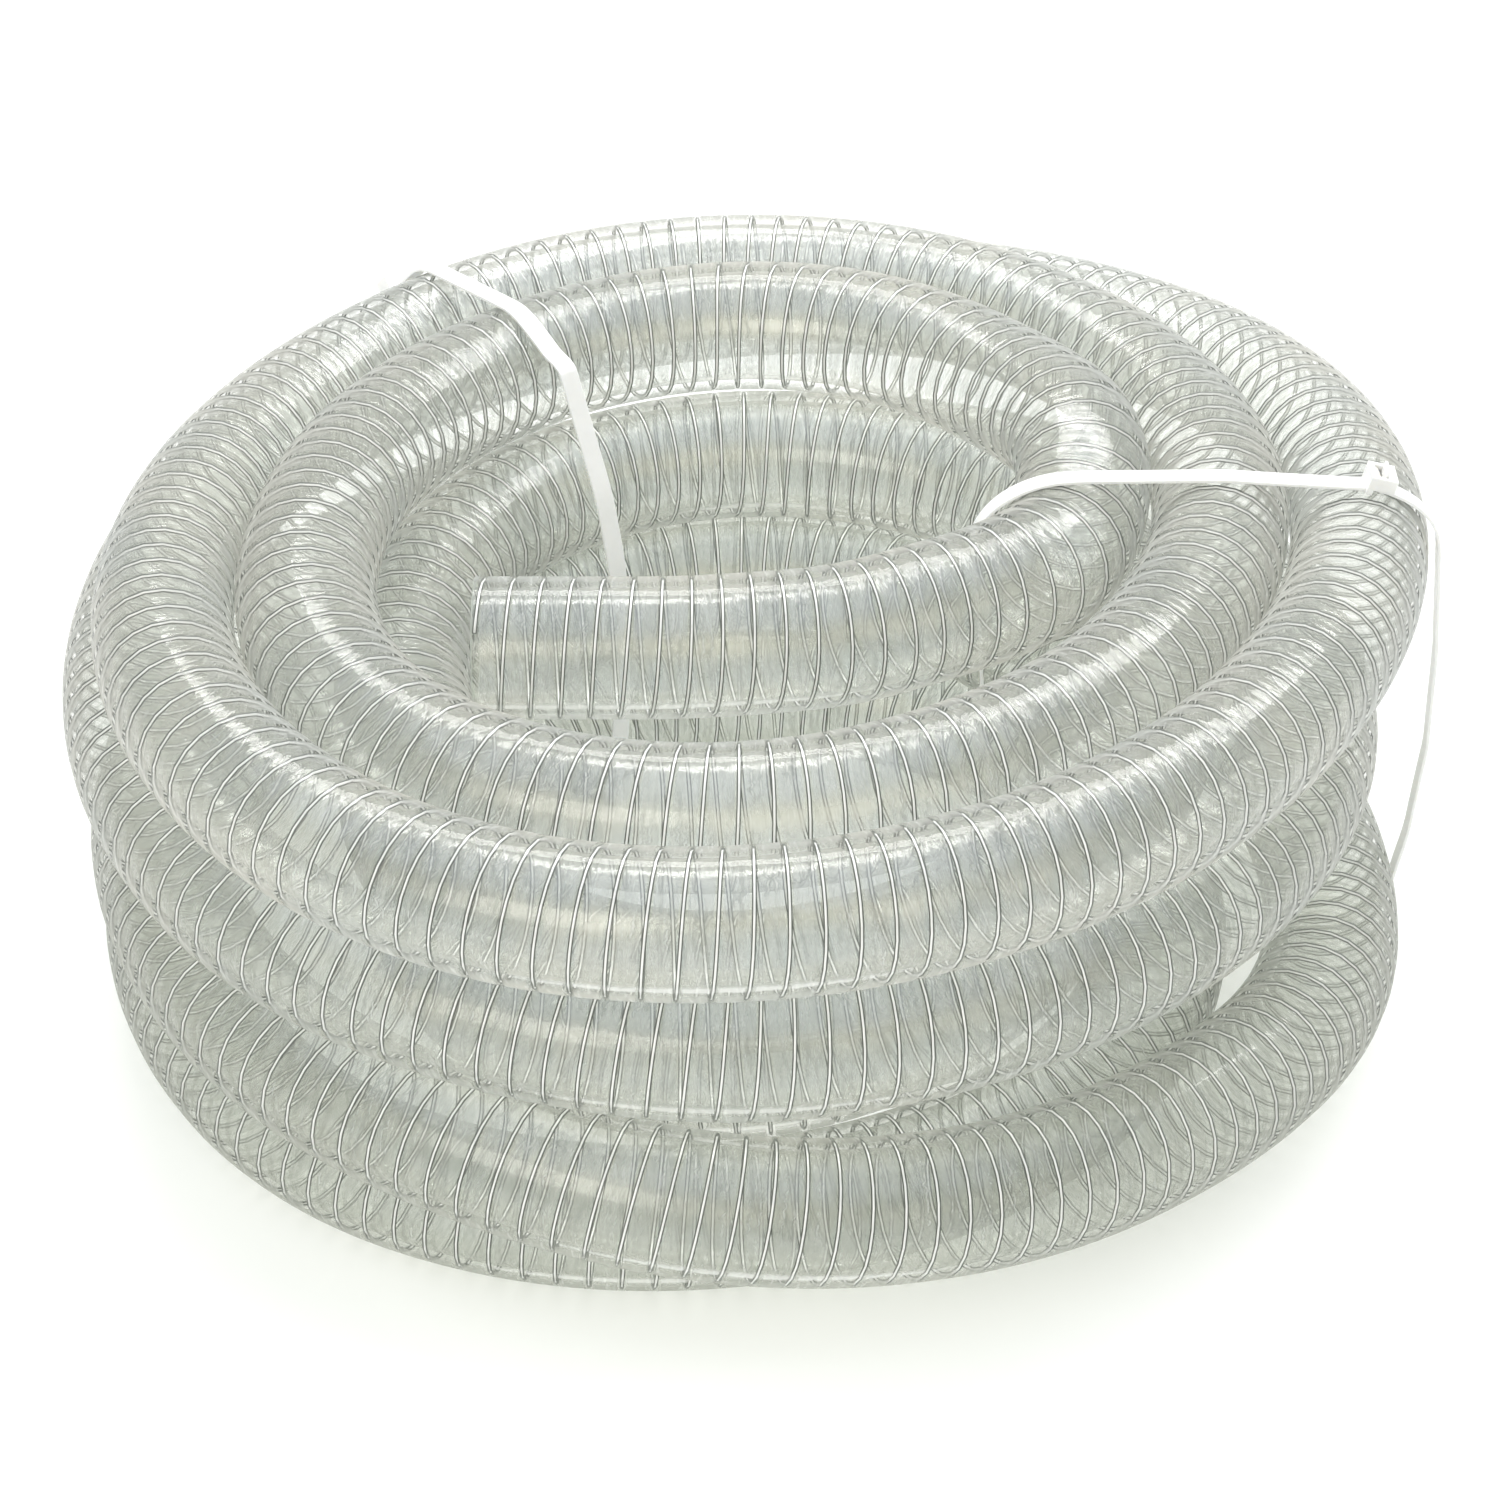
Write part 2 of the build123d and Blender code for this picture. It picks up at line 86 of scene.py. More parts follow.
OUTER_COLS, BORE_COLS = 36, 28
WIRE_SIDES = 8
TAIL_STEP, COIL_STEP = 3.0, 6.5            # length of a wall quad
TAIL_TURN_STEPS, COIL_TURN_STEPS = 26, 22  # wire stations in one turn of the helix

# centreline of the free run: x, y from the coil axis, and z before FLOOR_GAP is added
FREE_RUN = [
    (-64.0, -81.6, 209.3), (-40.0, -80.9, 208.9), (0.0, -76.6, 208.4), (35.0, -68.9, 207.7),
    (70.0, -53.6, 207.8), (100.0, -37.0, 207.9), (124.0, -16.2, 208.1), (137.4, 9.8, 208.8),
]

# centreline of the coil, one knot every LAY_STEP degrees: radius, and z before FLOOR_GAP
LAY_STEP = 22.5
LAY = [
    (155.2, 218.0), (168.2, 213.4), (181.6, 211.0), (190.7, 208.8), (192.1, 206.5),
    (187.8, 207.6), (186.1, 210.5), (190.0, 214.1), (202.1, 214.6), (212.5, 212.7),
    (212.3, 212.3), (205.2, 212.9), (195.9, 213.5), (189.9, 212.6), (190.1, 211.2),
    (200.0, 208.6), (217.3, 204.3), (235.3, 200.3), (250.6, 199.0), (255.5, 199.0),
    (253.1, 198.4), (248.3, 197.7), (246.3, 200.3), (250.9, 206.5), (263.5, 211.1),
    (273.8, 210.3), (274.8, 207.7), (267.3, 208.1), (257.9, 209.8), (251.3, 211.0),
    (251.3, 209.4), (261.7, 203.4), (278.9, 193.9), (294.5, 181.3), (304.0, 169.1),
    (304.1, 161.4), (298.4, 156.2), (289.9, 152.7), (281.5, 150.2), (274.9, 150.5),
    (274.4, 151.3), (274.9, 149.3), (268.6, 146.4), (263.2, 143.9), (255.6, 144.5),
    (249.9, 143.5), (246.1, 139.9), (242.2, 135.3), (239.4, 129.8), (236.8, 123.5),
    (236.2, 116.2), (238.3, 108.4), (242.8, 101.0), (249.3, 95.2), (256.7, 91.7),
    (264.2, 90.6), (271.4, 90.4), (277.7, 88.6), (279.4, 83.6), (278.4, 71.2),
    (272.0, 59.0), (265.6, 48.8), (264.6, 37.7), (259.9, 30.8), (259.6, 30.0),
    (260.0, 30.0), (261.2, 30.0), (262.7, 30.0), (264.1, 30.0), (265.3, 30.0),
    (266.1, 30.0), (266.2, 30.0), (265.4, 30.0), (262.5, 30.0), (249.4, 30.0),
    (232.4, 30.0), (217.6, 30.0), (204.1, 30.0), (191.5, 30.0), (179.0, 30.0),
    (167.2, 30.0), (157.2, 30.0), (150.2, 30.0), (146.1, 30.0), (144.2, 30.0),
    (143.9, 30.0), (144.9, 30.0), (146.7, 30.0), (148.8, 30.0), (150.8, 30.7),
    (151.9, 34.0), (152.1, 40.8), (151.4, 51.1), (150.7, 63.6), (150.7, 76.1),
    (152.4, 85.4), (154.9, 90.1), (156.8, 91.2), (157.5, 90.9), (157.3, 91.2),
    (155.9, 90.8), (154.6, 90.2), (155.6, 90.2), (157.6, 90.1), (160.0, 90.1),
    (162.6, 90.9), (165.4, 93.9), (168.3, 100.4), (171.2, 110.0), (173.7, 121.5),
    (175.5, 132.9), (176.3, 142.2), (175.8, 147.7), (174.2, 149.9), (172.2, 150.3),
    (169.8, 150.9), (166.0, 151.2), (160.9, 151.8), (155.4, 151.5), (155.0, 151.2),
    (160.4, 151.2), (167.4, 152.0),
]


# ------------------------------------------------------------------ hose centreline
def unit(vector):
    return vector / np.linalg.norm(vector)


def unit_rows(vectors):
    return vectors / np.linalg.norm(vectors, axis=1)[:, None]


def spline_tangents(points, start_tangent, end_tangent):
    """Unit tangents of the smooth cubic through the points, with given end directions."""
    gaps = np.linalg.norm(np.diff(points, axis=0), axis=1)
    count = len(points)
    matrix = np.zeros((count, count))
    target = np.zeros((count, 3))
    matrix[0, 0] = matrix[-1, -1] = 1.0
    target[0], target[-1] = start_tangent, end_tangent
    for k in range(1, count - 1):
        before, after = gaps[k - 1], gaps[k]
        matrix[k, k - 1:k + 2] = after, 2 * (before + after), before
        target[k] = 3 * (after * (points[k] - points[k - 1]) / before
                         + before * (points[k + 1] - points[k]) / after)
    return unit_rows(np.linalg.solve(matrix, target))


class Piece:
    """A circular arc, or a straight line, from start to end, leaving start along tangent."""

    def __init__(self, start, tangent, end):
        chord = end - start
        ahead = float(chord @ tangent)
        sideways = chord - ahead * tangent
        offset = float(np.linalg.norm(sideways))
        self.start, self.tangent = start, tangent
        if offset < 1e-6 * np.linalg.norm(chord):
            self.radius, self.length = None, float(np.linalg.norm(chord))
        else:
            self.inward = sideways / offset
            self.radius = float(chord @ chord) / (2 * offset)
            self.length = self.radius * 2 * math.atan2(offset, ahead)

    def at(self, distance):
        """Position and tangent at a distance along the piece."""
        if self.radius is None:
            return self.start + self.tangent * distance, self.tangent
        angle = distance / self.radius
        cosine, sine = math.cos(angle), math.sin(angle)
        position = self.start + self.radius * (self.tangent * sine + self.inward * (1 - cosine))
        return position, self.tangent * cosine + self.inward * sine


def biarc(start, leave, end, arrive):
    """Two arcs that leave start along one direction, meet smoothly and reach end along another."""
    chord = end - start
    along = float(chord @ (leave + arrive))
    square = float(chord @ chord)
    bend = 2 * (1 - float(leave @ arrive))
    if bend < 1e-9:
        handle = square / (2 * along)
    else:
        handle = (math.sqrt(along * along + bend * square) - along) / bend
    middle = (start + handle * leave + end - handle * arrive) / 2
    through = unit(end - handle * arrive - start - handle * leave)
    return [Piece(start, leave, middle), Piece(middle, through, end)]


def coil_knot(degrees, radius, z):
    angle = math.radians(degrees)
    return radius * math.cos(angle), radius * math.sin(angle), z


def hose_pieces():
    """The whole centreline as arcs and straights, from the mouth to the far end."""
    knots = FREE_RUN + [coil_knot(LAY_STEP * (k + 1), *knot) for k, knot in enumerate(LAY)]
    knots = np.array(knots) + np.array([*PLAN_SHIFT, FLOOR_GAP])
    far_angle = math.radians(LAY_STEP * len(LAY) + 90.0 - FAR_TURN_OUT)
    far_dir = unit(np.array([math.cos(far_angle), math.sin(far_angle), FAR_RISE]))
    tangents = spline_tangents(knots, MOUTH_DIR, far_dir)
    run = [Piece(knots[0] - MOUTH_STRAIGHT * MOUTH_DIR, MOUTH_DIR, knots[0])]
    for k in range(len(knots) - 1):
        run += biarc(knots[k], tangents[k], knots[k + 1], tangents[k + 1])
    run.append(Piece(knots[-1], far_dir, knots[-1] + FAR_STRAIGHT * far_dir))
    return run


MOUTH_DIR = np.array([1.0, 0.0, 0.0])
pieces = hose_pieces()
piece_starts = np.concatenate([[0.0], np.cumsum([piece.length for piece in pieces])])
hose_length = float(piece_starts[-1])


def locate(distance):
    """Position and tangent at a distance along the hose."""
    k = int(np.searchsorted(piece_starts, distance, side="right")) - 1
    k = min(max(k, 0), len(pieces) - 1)
    return pieces[k].at(distance - piece_starts[k])


def carried_sides():
    """Side vectors that don't spin about the centreline, one for each mm of hose."""
    sides = []
    side = unit(np.cross(MOUTH_DIR, [0.0, 0.0, 1.0]))
    for k in range(int(hose_length) + 2):
        tangent = locate(min(float(k), hose_length))[1]
        side = unit(side - tangent * float(side @ tangent))
        sides.append(side)
    return np.array(sides)


hose_sides = carried_sides()


def frame_at(distance):
    """Position, tangent and the two cross vectors of the hose."""
    position, tangent = locate(distance)
    k = min(int(distance), len(hose_sides) - 2)
    side = hose_sides[k] + (hose_sides[k + 1] - hose_sides[k]) * (distance - k)
    side = unit(side - tangent * float(side @ tangent))
    return position, tangent, side, np.cross(tangent, side)


def frames(distances):
    """frame_at for many distances, as four arrays."""
    return tuple(np.array(column) for column in zip(*(frame_at(float(s)) for s in distances)))


def point(distance):
    """Centreline point in metres."""
    return tuple(frame_at(distance)[0] * MM)


# ------------------------------------------------------------------ mesh helpers
def mesh_object(name, verts, faces, materials, run_uv=None):
    """Smooth quad mesh; verts in metres, run_uv one pair per face corner."""
    mesh = D.meshes.new(name)
    faces = np.asarray(faces, np.int32)
    mesh.vertices.add(len(verts))
    mesh.vertices.foreach_set("co", np.asarray(verts, np.float32).ravel())
    count, corners = faces.shape
    mesh.loops.add(count * corners)
    mesh.loops.foreach_set("vertex_index", faces.ravel())
    mesh.polygons.add(count)
    loop_starts = np.arange(0, count * corners, corners, dtype=np.int32)
    mesh.polygons.foreach_set("loop_start", loop_starts)
    mesh.polygons.foreach_set("use_smooth", np.ones(count, bool))
    if run_uv is not None:
        layer = mesh.uv_layers.new(name="run")
        layer.data.foreach_set("uv", np.asarray(run_uv, np.float32).ravel())
    mesh.update(calc_edges=True)
    mesh.validate()
    ob = D.objects.new(name, mesh)
    scene.collection.objects.link(ob)
    for material in materials:
        mesh.materials.append(material)
    return ob


def grid_faces(rows, cols):
    """Quads between rings of cols vertices, closed round."""
    i = np.arange(rows - 1)[:, None] * cols
    j = np.arange(cols)[None, :]
    j_next = (j + 1) % cols
    corners = (i + j, i + j_next, i + cols + j_next, i + cols + j)
    return np.stack(corners, -1).reshape(-1, 4)


def sheet(rings, along, flip):
    """Verts, faces and uv of a sheet through rings (rows, cols, 3) in mm.

    u is `along`, given per ring in mm and stored in metres; v is the fraction of a turn.
    """
    rows, cols = rings.shape[:2]
    faces = grid_faces(rows, cols)
    i, j = np.divmod(np.arange((rows - 1) * cols), cols)
    corners = ((i, j), (i, j + 1), (i + 1, j + 1), (i + 1, j))
    uv = np.stack([np.stack([along[a] * MM, b / cols], 1) for a, b in corners], 1)
    if flip:
        faces, uv = faces[:, ::-1], uv[:, ::-1]
    return rings.reshape(-1, 3) * MM, faces, uv.reshape(-1, 2)


def circle(side, other, cols):
    """Unit circles in the planes of side and other (rows, 3)."""
    angle = (np.arange(cols) / cols * 2 * np.pi)[None, :, None]
    return side[:, None] * np.cos(angle) + other[:, None] * np.sin(angle)


def skin(start, end, radius, cols, step, inward):
    """One skin of the hose wall between two distances."""
    along = np.linspace(start, end, int(math.ceil((end - start) / step)) + 1)
    position, _, side, other = frames(along)
    rings = position[:, None] + radius * circle(side, other, cols)
    return sheet(rings, along, flip=not inward)


def cut_face(distance, outward):
    """Cut end of the wall, crowned and rounded; outward is the sign along the hose."""
    rounding, crown = 0.25, 0.32
    profile = np.array([      # radius, standing out
        (HOSE_R, 0.0), (HOSE_R - rounding, rounding), ((HOSE_R + BORE_R) / 2, crown),
        (BORE_R + rounding, rounding), (BORE_R, 0.0)])
    radius, offset = profile[:, 0, None, None], profile[:, 1, None, None]
    position, tangent, side, other = frames([distance])
    rings = position + tangent * outward * offset + radius * circle(side, other, OUTER_COLS)
    uv_gap, uv_step = 3.0, 0.4     # u starts clear of the skins and steps once per ring
    along = distance + uv_gap + uv_step * np.arange(len(profile))
    return sheet(rings, along, flip=outward > 0)


def wall_piece(name, start, end, step, ends=(False, False)):
    """Both skins of the wall, with a cut face only at the true ends of the hose."""
    parts = [(skin(start, end, HOSE_R, OUTER_COLS, step, inward=False), 0),
             (skin(start, end, BORE_R, BORE_COLS, step, inward=True), 1)]
    for is_end, distance, outward in zip(ends, (start, end), (-1.0, 1.0)):
        if is_end:
            parts.append((cut_face(distance, outward), 2))
    verts, faces, uvs, slots, base = [], [], [], [], 0
    for (part_verts, part_faces, part_uv), slot in parts:
        verts.append(part_verts)
        faces.append(part_faces + base)
        uvs.append(part_uv)
        slots.append(np.full(len(part_faces), slot, np.int32))
        base += len(part_verts)
    ob = mesh_object(name, np.concatenate(verts), np.concatenate(faces),
                     [MATERIALS[key] for key in ("pvc", "bore", "cut")], np.concatenate(uvs))
    ob.data.polygons.foreach_set("material_index", np.concatenate(slots))
    ob.data.update()
    return ob


def add_triangles(mesh, triangles):
    bm = bmesh.new()
    bm.from_mesh(mesh)
    bm.verts.ensure_lookup_table()
    for triangle in triangles:
        bm.faces.new([bm.verts[k] for k in triangle])
    bmesh.ops.recalc_face_normals(bm, faces=bm.faces)
    for face in bm.faces:
        face.smooth = True
    bm.to_mesh(mesh)
    bm.free()


def wire_piece(name, start, end, turn_steps=TAIL_TURN_STEPS, caps=(False, False)):
    """Round wire wound in the wall between two distances along the hose."""
    rows = int(math.ceil((end - start) / HELIX_PITCH * turn_steps)) + 1
    along = np.linspace(start, end, rows)
    position, _, side, other = frames(along)
    phase = (-2 * np.pi * along / HELIX_PITCH)[:, None]
    radial = side * np.cos(phase) + other * np.sin(phase)
    centre = position + HELIX_R * radial
    direction = unit_rows(np.gradient(centre, axis=0))
    across = unit_rows(np.cross(direction, radial))
    up = np.cross(across, direction)
    angle = ((np.arange(WIRE_SIDES) + 0.5) / WIRE_SIDES * 2 * np.pi)[None, :, None]
    ring = up[:, None] * np.cos(angle) + across[:, None] * np.sin(angle)
    verts = (centre[:, None] + WIRE_R * ring).reshape(-1, 3)

    # a capped end is a fan of triangles round one more vertex
    triangles = []
    for capped, row in zip(caps, (0, rows - 1)):
        if capped:
            hub = len(verts)
            verts = np.concatenate([verts, centre[row:row + 1]])
            for j in range(WIRE_SIDES):
                rim = [row * WIRE_SIDES + j, row * WIRE_SIDES + (j + 1) % WIRE_SIDES]
                triangles.append([hub] + (rim[::-1] if row == 0 else rim))

    ob = mesh_object(name, verts * MM, grid_faces(rows, WIRE_SIDES), [MATERIALS["steel"]])
    wire_dir = np.zeros((len(verts), 3), np.float32)
    wire_dir[:rows * WIRE_SIDES] = np.repeat(direction, WIRE_SIDES, axis=0)
    attribute = ob.data.attributes.new("wire_dir", "FLOAT_VECTOR", "POINT")
    attribute.data.foreach_set("vector", wire_dir.ravel())
    if triangles:
        add_triangles(ob.data, triangles)
    return ob


# ------------------------------------------------------------------ shader helper
class Shader:
    """Builds the node tree of a material or world."""

    def __init__(self, owner):
        self.owner = owner
        owner.use_nodes = True
        self.tree = owner.node_tree
        self.tree.nodes.clear()

    def feed(self, socket, value):
        """Link a socket or a node's first output, or set a value; colours are RGB."""
        if isinstance(value, bpy.types.Node):
            value = value.outputs[0]
        if isinstance(value, bpy.types.NodeSocket):
            self.tree.links.new(value, socket)
        else:
            socket.default_value = (*value, 1.0) if socket.type == "RGBA" else value

    def node(self, kind, *inputs, **named):
        """New node; a double underscore in an input's name stands for a space."""
        node = self.tree.nodes.new("ShaderNode" + kind)
        for k, value in enumerate(inputs):
            self.feed(node.inputs[k], value)
        for key, value in named.items():
            self.feed(node.inputs[key.replace("__", " ")], value)
        return node

    def math(self, operation, *values, clamp=False):
        node = self.node("Math", *values)
        node.operation = operation
        node.use_clamp = clamp
        return node.outputs[0]

    def times(self, first, *others):
        for other in others:
            first = self.math("MULTIPLY", first, other)
        return first

    def add(self, value, mask, weight=None, clamp=False):
        """value + mask * weight"""
        extra = mask if weight is None else self.times(mask, weight)
        return self.math("ADD", value, extra, clamp=clamp)

    def fade(self, value, mask, amount, clamp=False):
        """value * (1 - mask * amount)"""
        kept = self.math("SUBTRACT", 1.0, self.times(mask, amount))
        return self.math("MULTIPLY", value, kept, clamp=clamp)

    def vector(self, operation, a, b, output="Vector"):
        node = self.node("VectorMath")
        node.operation = operation
        self.feed(node.inputs[0], a)
        self.feed(node.inputs[1], b)
        return node.outputs[output]

    def split(self, vector):
        return self.node("SeparateXYZ", vector).outputs

    def ease(self, value, start, end, low=0.0, high=1.0):
        """Smooth step from low at start to high at end."""
        node = self.node("MapRange", value, start, end, low, high)
        node.interpolation_type = "SMOOTHSTEP"
        return node.outputs[0]

    def mix(self, amount, a, b):
        node = self.node("Mix")
        node.data_type = "RGBA"
        for k, value in ((0, amount), (6, a), (7, b)):
            self.feed(node.inputs[k], value)
        return node.outputs[2]

    def tone(self, base, colour, mask, strength):
        """base turned towards colour by mask * strength"""
        return self.mix(self.times(mask, strength), base, colour)

    def noise(self, place, detail, scale=1.0, roughness=0.5, distortion=0.0):
        return self.node("TexNoise", Vector=place, Scale=scale, Detail=detail,
                         Roughness=roughness, Distortion=distortion).outputs[0]

    def bump(self, height, strength, distance):
        return self.node("Bump", Strength=strength, Distance=distance, Height=height).outputs[0]

    def facing(self, **inputs):
        """0 seen face on, 1 at the outline."""
        return self.node("LayerWeight", Blend=0.5, **inputs).outputs["Facing"]

    def shade(self, amount, a, b):
        return self.node("MixShader", amount, a, b).outputs[0]

    def unless_shadow(self, seen, shadow_colour):
        """seen, but only a thin tint to shadow rays"""
        thin = self.node("BsdfTransparent", Color=shadow_colour)
        return self.shade(self.node("LightPath").outputs["Is Shadow Ray"], seen, thin)

    def out(self, shader, kind="OutputMaterial"):
        self.node(kind, shader)
        return self.owner


def new_shader(name):
    return Shader(D.materials.new(name))


# ------------------------------------------------------------------ clear PVC
# bump heights in mm, gloss roughness, and the tints of clear wall and of its shadow
OUTER = SimpleNamespace(wave_height=0.30, streak_height=0.035, gloss=0.06,
                        clear=(0.966, 0.970, 0.956), shadow=(0.965, 0.967, 0.962))
BORE = SimpleNamespace(wave_height=0.8, streak_height=0.22, gloss=0.12,
                       clear=(0.978, 0.985, 0.975), shadow=(0.988, 0.99, 0.986))

# body colours of the wall and its streaks, with painted shade, painted reflections and a painted
# image of the far-side wire
GREY, WARM_GREY, LOW_SHADE_GREEN = (0.55, 0.56, 0.535), (0.61, 0.60, 0.555), (0.43, 0.44, 0.395)
SKY_REFLECTION, CREAM_REFLECTION = (0.66, 0.70, 0.77), (0.93, 0.905, 0.80)
PALE_STREAK, DARK_STREAK = (0.93, 0.94, 0.93), (0.36, 0.38, 0.35)
GHOST_EDGE, GHOST_HEART, FLOOR_REFLECTION = (0.26, 0.28, 0.26), (0.95, 0.96, 0.95), (0.99, 0.99, 0.985)


def hose_coords(g):
    """Distance from the wire in mm, and a seamless point on the wall in mm."""
    run = g.node("UVMap")
    run.uv_map = "run"
    along, turn = g.split(run)[:2]
    phase = g.add(g.times(along, 1.0 / (MM * HELIX_PITCH)), turn)
    fraction = g.math("FRACT", g.add(phase, 0.5))    # 0.5 on the wire
    off_wire = g.math("ABSOLUTE", g.math("SUBTRACT", fraction, 0.5))
    angle = g.times(turn, 2 * math.pi)
    place = g.node("CombineXYZ", g.times(along, 1.0 / MM),
                   g.times(g.math("COSINE", angle), HOSE_R),
                   g.times(g.math("SINE", angle), HOSE_R))
    return g.times(off_wire, HELIX_PITCH), place


def stretched(g, place, along, around, seed=0.0, detail=1.0, **noise):
    """Noise with cells `along` mm long down the hose and `around` mm long round it."""
    scaled = g.vector("MULTIPLY", place, (1.0 / along, 1.0 / around, 1.0 / around))
    moved = g.vector("ADD", scaled, (seed, seed * 1.7, -seed))
    return g.noise(moved, detail, **noise)


def wall_masks(g, look):
    """The patterns and view angles that tint, density and gloss share."""
    m = SimpleNamespace()
    m.off_wire, m.place = hose_coords(g)
    m.streak = stretched(g, m.place, along=1.7, around=12.0,
                         detail=3.0, roughness=0.60, distortion=0.5)
    waves = stretched(g, m.place, along=5.5, around=22.0, seed=3.0,
                      detail=2.0, roughness=0.55, distortion=0.3)
    m.broad = stretched(g, m.place, along=60.0, around=40.0, seed=11.0)

    # shallow waves between the wires, and a low ridge over them
    ridge = g.ease(m.off_wire, start=0.0, end=2.4, low=1.0, high=0.0)
    height = g.add(g.times(waves, look.wave_height), m.streak, weight=look.streak_height)
    height = g.add(height, ridge, weight=0.11)
    m.normal = g.bump(height, strength=1.0, distance=MM)

    # the mirrored view: how far it points up, and how far to the front (-Y)
    m.outline = g.facing()
    m.geo = g.node("NewGeometry").outputs
    mirrored = g.split(g.vector("REFLECT", m.geo["Incoming"], m.normal))
    m.up = g.times(mirrored[2], -1.0)
    m.front = mirrored[1]

    # painted reflection: sky tint where the mirrored view points up
    m.cool = g.ease(m.up, start=0.62, end=0.95)
    # painted reflection: cream patches where the mirrored view points to the front, broken up by
    # broad noise
    m.cream = g.times(g.ease(m.up, start=-0.15, end=0.45),
                      g.ease(m.up, start=0.50, end=0.92, low=1.0, high=0.0))
    m.cream = g.times(m.cream, g.ease(m.front, start=0.35, end=0.75),
                      g.ease(m.broad, start=0.34, end=0.70))
    # the wall stays clear just over the wire, so that the wire reads crisply
    m.over = g.ease(m.off_wire, start=1.2, end=2.1, low=1.0, high=0.0)
    return m


def ghost_masks(g, m):
    """Painted image of the far-side turns seen through the wall: painted shade on their edges and
    a painted highlight in their heart, as broken lines half way between.
    """
    wobble = g.math("SUBTRACT", stretched(g, m.place, along=9.0, around=3.0, seed=5.0), 0.5)
    wander = g.add(m.off_wire, wobble, weight=4.5)
    ghost = g.math("ABSOLUTE", g.math("SUBTRACT", wander, 4.7))    # mm from the ghost line
    patches = stretched(g, m.place, along=30.0, around=25.0, seed=17.0)
    shown = g.times(g.ease(m.outline, start=0.50, end=0.30),
                    g.ease(patches, start=0.47, end=0.60))
    ghost_shade = g.times(g.ease(ghost, start=1.15, end=0.60), shown)
    ghost_highlight = g.times(g.ease(ghost, start=0.45, end=0.25),
                    g.ease(m.streak, start=0.50, end=0.58), shown)
    return ghost_shade, ghost_highlight


def floor_reflection_mask(g, m):
    """Painted reflection of the floor: a bright ribbon low on the front of each turn, where the
    mirrored view points down.
    """
    to_front = g.times(g.split(m.geo["Normal"])[1], -1.0)
    return g.times(g.ease(m.up, start=-0.915, end=-0.970),
                   g.times(g.ease(m.front, start=0.04, end=0.16),
                           g.ease(to_front, start=0.25, end=0.60)))


def wall_tint(g, m):
    """Painted reflections: sky blue where the wall mirrors the top, cream below that; painted
    shade: green grey near the floor.
    """
    height = g.split(m.geo["Position"])[2]
    # painted shade: the wall turns darker green grey near the floor
    low = g.ease(height, start=0.17, end=0.04)
    tint = g.mix(g.ease(m.broad, start=0.35, end=0.65), GREY, WARM_GREY)
    tint = g.tone(tint, LOW_SHADE_GREEN, low, strength=0.75)
    cool_strength = g.math("SUBTRACT", 0.8, g.times(low, 0.35))    # weaker near the floor
    tint = g.tone(tint, SKY_REFLECTION, m.cool, cool_strength)
    tint = g.tone(tint, CREAM_REFLECTION, m.cream, strength=0.90)
    tint = g.tone(tint, PALE_STREAK, g.ease(m.streak, start=0.52, end=0.74), strength=0.45)
    return g.tone(tint, DARK_STREAK, g.ease(m.streak, start=0.50, end=0.30), strength=0.32)


def make_pvc(name, look):
    g = new_shader(name)
    m = wall_masks(g, look)
    tint = wall_tint(g, m)
    rim = g.add(g.math("POWER", m.outline, 2.2), g.ease(m.outline, start=0.45, end=0.80))
    mirror = g.facing(Normal=m.normal)
    gloss_share = g.add(0.05, g.math("POWER", mirror, 4.0), weight=0.70)

    # density: how far the milky body hides what is behind it
    if look is BORE:
        density = g.add(0.26, g.ease(m.streak, start=0.46, end=0.28), weight=0.20)
        density = g.add(density, g.ease(m.streak, start=0.54, end=0.74), weight=0.20)
        density = g.add(density, rim, weight=0.20)
        density = g.fade(density, m.over, amount=0.80, clamp=True)
        gloss_share = g.times(gloss_share, 0.9)
    else:
        ghost_shade, ghost_highlight = ghost_masks(g, m)
        floor_reflection = floor_reflection_mask(g, m)
        # painted image of the far-side wire: painted shade on its edges, a painted highlight in
        # its heart
        tint = g.tone(tint, GHOST_EDGE, ghost_shade, strength=0.60)
        tint = g.tone(tint, GHOST_HEART, ghost_highlight, strength=0.7)
        # painted reflection of the floor turns the tint near white
        tint = g.mix(floor_reflection, tint, FLOOR_REFLECTION)
        density = g.add(0.10, rim, weight=0.40)
        density = g.add(density, m.cream, weight=0.26)
        density = g.add(density, ghost_shade, weight=0.22)
        density = g.add(density, m.cool, weight=0.12)
        density = g.add(density, g.ease(m.streak, start=0.52, end=0.75), weight=0.12)
        density = g.fade(density, m.over, amount=0.80, clamp=True)
        floor_reflection_body = g.fade(floor_reflection, m.over, amount=0.7)
        density = g.add(density, floor_reflection_body, weight=0.30, clamp=True)
        gloss_share = g.add(g.times(gloss_share, 1.2), floor_reflection, weight=0.28)

    diffuse = g.node("BsdfDiffuse", Color=tint, Roughness=0.0, Normal=m.normal)
    through = g.node("BsdfTranslucent", Color=tint, Normal=m.normal)
    translucent_share = 0.45
    body = g.shade(translucent_share, diffuse, through)
    wall = g.shade(density, g.node("BsdfTransparent", Color=look.clear), body)
    gloss = g.node("BsdfGlossy", Color=(1, 1, 1), Roughness=look.gloss, Normal=m.normal)
    gloss_share = g.fade(gloss_share, m.geo["Backfacing"], amount=0.75, clamp=True)
    return g.out(g.unless_shadow(g.shade(gloss_share, wall, gloss), look.shadow))


# ------------------------------------------------------------------ other materials
def make_cut():
    g = new_shader("pvc_cut_end")
    position = g.node("NewGeometry").outputs["Position"]
    grain = g.noise(position, scale=900.0, detail=4.0, roughness=0.6)
    colour = g.mix(grain, (0.62, 0.66, 0.61), (0.80, 0.83, 0.78))
    body = g.node("BsdfPrincipled", Base__Color=colour, Roughness=0.32,
                  Normal=g.bump(grain, strength=0.4, distance=0.0003))
    clear = g.node("BsdfTransparent", Color=(0.93, 0.95, 0.93))
    body_share = 0.62
    return g.out(g.shade(body_share, clear, body))


